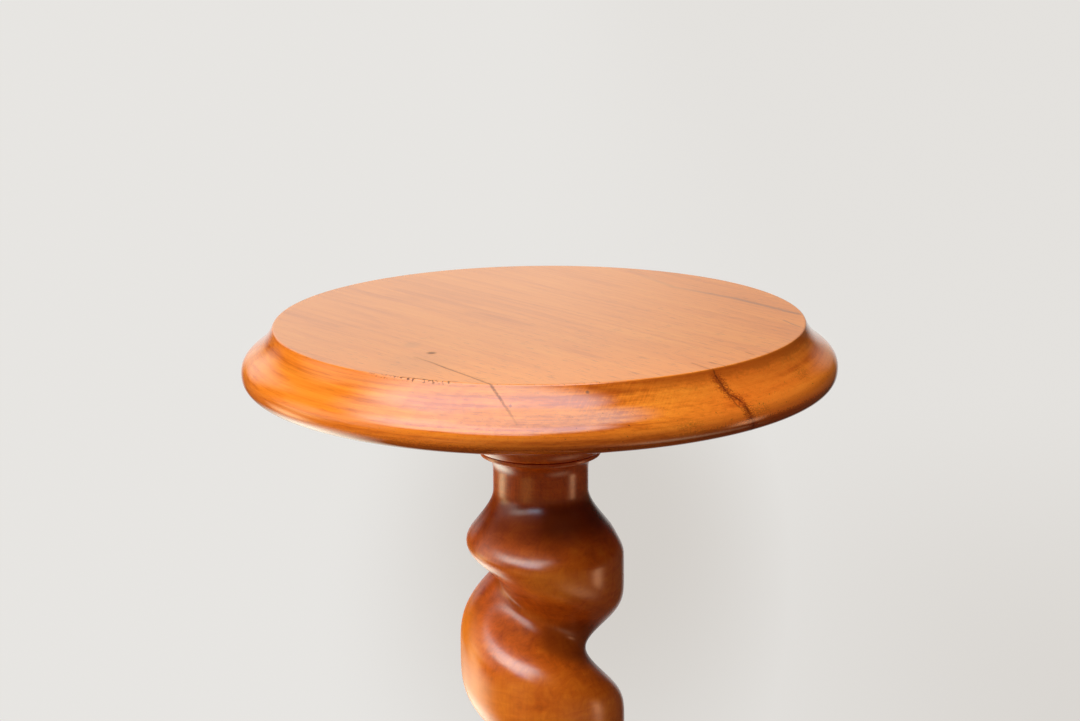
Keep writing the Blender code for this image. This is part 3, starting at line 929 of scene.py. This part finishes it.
def makeScrews():
    size = screwSizes
    tall = standingPlace(screwNodes[0])[1]
    outline = [(0, 0), (size["head"] - size["edgeSoft"], 0), (size["head"], size["edgeSoft"])]
    outline += [(size["shank"], size["headDeep"]), (size["shank"], tall - size["point"]), (0, tall)]
    pattern = turnOnLathe("screw_pattern", outline, size["around"], size["smoothBelow"])
    wide = deep = size["slot"]
    cutAway(pattern, taperedBar("slot", 4 * size["head"], (-size["overrun"], wide), (deep, wide)))
    for number, node in enumerate(screwNodes):
        screw = copyOf(pattern, f"{node}_slotted")
        settle(screw, standingPlace(node)[0], size["turnStep"] * number)
        keepPiece(screw, node, "screw_steel")
    bpy.data.objects.remove(pattern, do_unlink=True)


makeCleat()
makeScrews()
print("cleat turned and screwed")

footNodes = [f"bun_foot_{number}" for number in (1, 2, 3)]
footSizes = {
    "pad": 0.018,
    "bunLow": 0.0165,
    "bunHigh": 0.0145,
    "quirk": 0.020,
    "quirkTall": 0.0015,
    "collar": 0.0235,
    "collarTall": 0.0055,
    "spigot": 0.011,
    "chamfer": 0.0015,
    "edgeSoft": 0.0008,
    "gap": 0.0003,
    "around": 96,
}


def makeFeet():
    size = footSizes
    tall = standingPlace(footNodes[0])[1]
    low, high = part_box(footNodes[0])
    widest = (high[0] - low[0]) / 2
    collar, soft, spigot = size["collar"], size["edgeSoft"], size["spigot"]
    bunTop = (size["quirk"], size["bunLow"] + size["bunHigh"])
    collarLow = bunTop[1] + size["quirkTall"]
    collarHigh = collarLow + size["collarTall"]
    outline = [(0, 0), (size["pad"], 0)]
    outline += quarterRound((size["pad"], 0), (widest, size["bunLow"]), "level", 14)
    outline += quarterRound((widest, size["bunLow"]), bunTop, "upright", 14)
    outline += [(size["quirk"], collarLow), (collar - soft, collarLow)]
    outline += quarterRound((collar - soft, collarLow), (collar, collarLow + soft), "level", 4)
    outline += [(collar, collarHigh - soft)]
    outline += quarterRound((collar, collarHigh - soft), (collar - soft, collarHigh), "upright", 4)
    outline += [(spigot, collarHigh), (spigot, tall - size["chamfer"])]
    outline += [(spigot - size["chamfer"], tall), (0, tall)]
    pattern = turnOnLathe("foot_pattern", outline, size["around"])
    for node in footNodes:
        foot = copyOf(pattern, f"{node}_turned")
        settle(foot, standingPlace(node)[0])
        keepPiece(foot, node, "polished_foot")
    bpy.data.objects.remove(pattern, do_unlink=True)


baseSizes = {
    "mortise": 0.0183,
    "edgeTall": 0.031,
    "domeRise": 0.0055,
    "boss": 0.056,
    "bossRound": 0.004,
    "overrun": 0.002,
    "around": 256,
}


def makeBase():
    size = baseSizes
    low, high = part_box("base_board")
    radius, bore, boss = high[0], size["mortise"], size["boss"]
    edge = mouldedEdge(radius, low[2], low[2] + size["edgeTall"])
    arris = edge[-1]
    domeTop = arris[1] + size["domeRise"]
    middle = ((arris[0] + boss) / 2, domeTop)
    bossSide = (boss, high[2] - size["bossRound"])
    outline = [(bore, low[2]), *edge, *cubicSweep(arris, middle, middle, (boss, domeTop), 16)]
    outline += [bossSide, *quarterRound(bossSide, (boss - size["bossRound"], high[2]), "upright")]
    outline += [(bore, high[2]), (bore, low[2])]
    base = turnOnLathe("base_board_turned", outline, size["around"])
    softenRing(base, arris[0], arris[1], edgeMould["arrisSoft"])
    reach = footSizes["spigot"] + footSizes["gap"]
    for node in footNodes:
        place, tall = standingPlace(node)
        mouth, end = low[2] - size["overrun"], tall + footSizes["gap"]
        sides = [(0, mouth), (reach, mouth), (reach, end), (0, end)]
        socket = turnOnLathe("spigot_socket", sides, footSizes["around"])
        settle(socket, (place.x, place.y, 0))
        cutAway(base, socket)
    keepPiece(base, "base_board", "polished_base")


makeFeet()
makeBase()
print("base turned, feet in their sockets")


# pale studio: a floor and a world that stay pale to the eye, soft windows and panels round the stand
studio = {
    "pale": (0.800, 0.785, 0.760),
    "floor": (0.70, 0.489, 0.433),
    "near": 0.5,
    "far": 1.7,
    "shade": (0.62, 0.585, 0.545),
    "shadeMiddle": (0.08, 2.6, 0.0),
    "shadeReach": (0.42, 1.7, 1.0),
    "shadeStrength": 0.8,
    "rightAcross": (-0.1, 0.7),
    "rightNear": (0.2, 1.4),
    "rightFar": (3.4, 1.6),
    "rightStrength": (0.14, 0.4),  # all the way back, and added nearer
    "bounce": (0.055, 0.028, 0.013),
    "wall": (0.98, 1.02, 0.94),
    "wallTop": (33, 6),  # degrees over level
    "wallSplit": (-0.01, 0.10),
    "wallRight": 0.35,
    "around": (0.017, 0.013, 0.009),
    "behind": (0.88, 0.975),
    "floorWide": 120,
}

# soft windows by direction, in degrees: turn from the front, to the right, and rise over level
# lean moves the two sides outward as they climb, tilt lifts the sill toward the right
plainWindow = {"lean": (0, 0), "tilt": 0.0, "softRise": 7}
windows = {
    "backLeftWall": {"turns": (-172, -141), "rises": (6, 44), "soft": (6, 10), "light": (0.75, 0.95, 0.98)},
    "backRightWall": {"turns": (151, 172), "rises": (6, 44), "soft": (9, 6), "light": (0.40, 0.42, 0.42)},
    "leftSky": {"turns": (-165, -70), "rises": (50, 90), "soft": (15, 15), "softRise": 8,
                "light": (1.0, 2.0, 2.3)},
    "leftSide": {"turns": (-112, -60), "rises": (-4, 32), "soft": (14, 14), "light": (0.8, 0.88, 0.85)},
    "tallWindow": {"turns": (-70, 0), "rises": (30, 90), "soft": (24, 18), "softRise": 5, "lean": (90, 95),
                   "tilt": 0.12, "light": (4.7, 5.1, 4.8)},
    "upperSky": {"turns": (-86, 18), "rises": (46, 90), "soft": (22, 16), "lean": (40, 110),
                 "light": (3.5, 4.6, 5.5)},
    "blueStrip": {"turns": (-32, -2), "rises": (20, 31), "soft": (6, 5), "softRise": 3,
                  "light": (2.2, 3.0, 3.8)},
    "overhead": {"turns": (-180, 180), "rises": (71, 90), "soft": (1, 1), "light": (1.2, 3.3, 3.9)},
}


def lightPath(tree, *kinds):
    rays = tree.nodes.new("ShaderNodeLightPath")
    seen = Wire(rays.outputs[kinds[0]])
    for kind in kinds[1:]:
        seen = seen.sum("MAXIMUM", seen, Wire(rays.outputs[kind]))
    return seen


# 1 straight behind the stand, 0 to the sides and the front
def behindStand(toward):
    return toward.vector("NORMALIZE").vector("DOT_PRODUCT", (0.0, 1.0, 0.0), 1).fade(*studio["behind"])


def makeFloor():
    bpy.ops.object.select_all(action="DESELECT")
    bpy.ops.mesh.primitive_plane_add(size=studio["floorWide"], location=(0, 0, 0))
    floor = bpy.context.object
    floor.name = "studio_floor"
    material, shader, where = newFinish("pale_floor", {"Roughness": 0.9, "Specular IOR Level": 0.1})
    tree = material.node_tree
    eye = lightPath(tree, "Is Camera Ray")
    mirrored = lightPath(tree, "Is Glossy Ray", "Is Transmission Ray")
    seen = eye.sum("MAXIMUM", eye, mirrored * behindStand(where))
    grey = eye.ramp([(0.0, studio["bounce"]), (1.0, studio["floor"])])  # little light thrown back up
    plug(shader, colour=grey)
    away = where.vector("LENGTH", out=1).fade(studio["near"], studio["far"])
    aside, behind = where.part(0), where.part(1)
    # painted shade on the floor's glow: toward the right, and a soft dab behind the stand
    least, added = studio["rightStrength"]
    right = aside.fade(*studio["rightAcross"]) * behind.fade(*studio["rightNear"])
    right = right * (behind.fade(*studio["rightFar"]) * added + least)
    middle = dab(where, studio["shadeMiddle"], studio["shadeReach"], studio["shadeStrength"])
    pale = grey.tint(1.0, studio["pale"]).tint(largest([right, middle]), studio["shade"])
    glow = seen.add("ShaderNodeEmission", None, {"Color": pale, "Strength": 1.0})
    mixed = seen.add("ShaderNodeMixShader", None, {0: seen * away, 1: Wire(shader.outputs[0]), 2: glow})
    under = Wire(tree.nodes.new("ShaderNodeNewGeometry").outputs["Backfacing"])
    clear = under.add("ShaderNodeBsdfTransparent")
    mixed = under.add("ShaderNodeMixShader", None, {0: under, 1: mixed, 2: clear})
    tree.links.new(mixed.socket, tree.nodes["Material Output"].inputs["Surface"])
    floor.data.materials.append(material)
    return floor


def makeWorld():
    world = bpy.data.worlds.new("studio")
    bpy.context.scene.world = world
    world.use_nodes = True
    tree = world.node_tree
    toward = Wire(tree.nodes.new("ShaderNodeTexCoord").outputs["Generated"])
    right, away, up = (toward.part(axis) for axis in range(3))
    turn = right.sum("ARCTAN2", right, away * -1.0) * math.degrees(1)
    rise = up.sum("ARCSINE", up) * math.degrees(1)
    light = toward.add("ShaderNodeCombineXYZ", None, dict(enumerate(studio["around"])))
    wall = behindStand(toward) * rise.fade(*studio["wallTop"])
    wall = wall * (1.0 - right.fade(*studio["wallSplit"]) * studio["wallRight"])
    light = light.tint(wall, studio["wall"])
    for shape in windows.values():
        window = {**plainWindow, **shape}
        leftTurn, rightTurn = window["turns"]
        leftSoft, rightSoft = window["soft"]
        low, high = window["rises"]
        sill = window["softRise"]
        climb = up - math.sin(math.radians(low))
        pane = (turn + climb * window["lean"][0] - leftTurn).fade(-leftSoft, leftSoft)
        pane = pane * (turn - climb * window["lean"][1] - rightTurn).fade(rightSoft, -rightSoft)
        pane = pane * (rise - turn * window["tilt"]).fade(low - sill, low + sill)
        if high < 90:
            pane = pane * rise.fade(high + sill, high - sill)
        light = light.tint(pane, window["light"])
    eye = lightPath(tree, "Is Camera Ray")
    shown = light.tint(eye, studio["pale"])
    tree.links.new(shown.socket, tree.nodes["Background"].inputs["Color"])


panelAim = 0.02  # the panels face a point this far under the flat

# low panels, each by its direction from that point, brightest in the middle and dying away to the edges
panels = [
    {"name": "low_left_sun", "turn": -106, "rise": -19, "away": 1.3, "wide": 0.9, "tall": 0.5,
     "glow": 4.1, "colour": (1.0, 0.78, 0.44)},
    {"name": "left_floor_sun", "turn": -121, "rise": -42, "away": 1.0, "wide": 1.9, "tall": 0.8,
     "glow": 4.2, "colour": (0.94, 1.0, 0.84)},
    {"name": "left_warmth", "turn": -96, "rise": -4, "away": 1.8, "wide": 1.4, "tall": 0.7,
     "glow": 2.6, "colour": (1.0, 0.86, 0.42)},
    {"name": "low_front_warmth", "turn": -34, "rise": -20, "away": 1.6, "wide": 1.3, "tall": 0.8,
     "glow": 0.8, "colour": (1.0, 0.57, 0.16)},
    {"name": "front_floor_glow", "turn": 54, "rise": -46, "away": 0.95, "wide": 1.2, "tall": 0.7,
     "glow": 0.75, "colour": (1.0, 0.72, 0.45)},
    {"name": "low_right_glow", "turn": 83, "rise": -21, "away": 1.8, "wide": 0.75, "tall": 0.75,
     "glow": 3.7, "colour": (1.0, 0.52, 0.27)},
]


# the panels leave the floor out, so that it shows no edge of their light
def sparedFrom(floor):
    spared = bpy.data.collections.new("out_of_panel_light")
    spared.objects.link(floor)
    spared.collection_objects[0].light_linking.link_state = "EXCLUDE"
    return spared


def addPanel(panel, spared):
    side, up = math.radians(panel["turn"]), math.radians(panel["rise"])
    toward = Vector((math.sin(side) * math.cos(up), -math.cos(side) * math.cos(up), math.sin(up)))
    lamp = bpy.data.lights.new(panel["name"], "AREA")
    lamp.shape = "RECTANGLE"
    lamp.size, lamp.size_y = panel["wide"], panel["tall"]
    lamp.energy = panel["glow"] * math.pi * panel["wide"] * panel["tall"]
    lamp.color = panel["colour"]
    lamp.use_nodes = True
    tree = lamp.node_tree
    spread = Wire(tree.nodes.new("ShaderNodeNewGeometry").outputs["Parametric"])
    across, along = spread.part(0), spread.part(1)
    soft = across.fade(0, 0.5) * across.fade(1, 0.5) * along.fade(0, 0.5) * along.fade(1, 0.5)
    tree.links.new(soft.socket, tree.nodes["Emission"].inputs["Strength"])
    made = bpy.data.objects.new(panel["name"], lamp)
    bpy.context.scene.collection.objects.link(made)
    made.location = Vector((0, 0, flatZ - panelAim)) + toward * panel["away"]
    made.rotation_euler = toward.to_track_quat("Z", "Y").to_euler()
    made.visible_camera = False
    made.light_linking.receiver_collection = spared


spared = sparedFrom(makeFloor())
makeWorld()
for panel in panels:
    addPanel(panel, spared)
print("studio lit by", len(panels), "panels")

# place of the eye in metres, its turns in degrees, lens and sensor in mm
photoView = {
    "right": 0.00025,
    "away": 1.25203,
    "above": 0.28493,
    "down": 13.7514,
    "roll": 0.58,
    "lens": 85.0,
    "sensor": 36.0,
}


def makeCamera():
    view = photoView
    data = bpy.data.cameras.new("photo_camera")
    data.lens, data.sensor_width = view["lens"], view["sensor"]
    data.sensor_fit = "HORIZONTAL"
    camera = bpy.data.objects.new("photo_camera", data)
    bpy.context.scene.collection.objects.link(camera)
    camera.location = (view["right"], -view["away"], flatZ + view["above"])
    tilt = Matrix.Rotation(math.radians(90 - view["down"]), 3, "X")
    camera.rotation_euler = (tilt @ Matrix.Rotation(math.radians(-view["roll"]), 3, "Z")).to_euler()
    bpy.context.scene.camera = camera


makeCamera()
bpy.context.scene.view_settings.view_transform = "Standard"
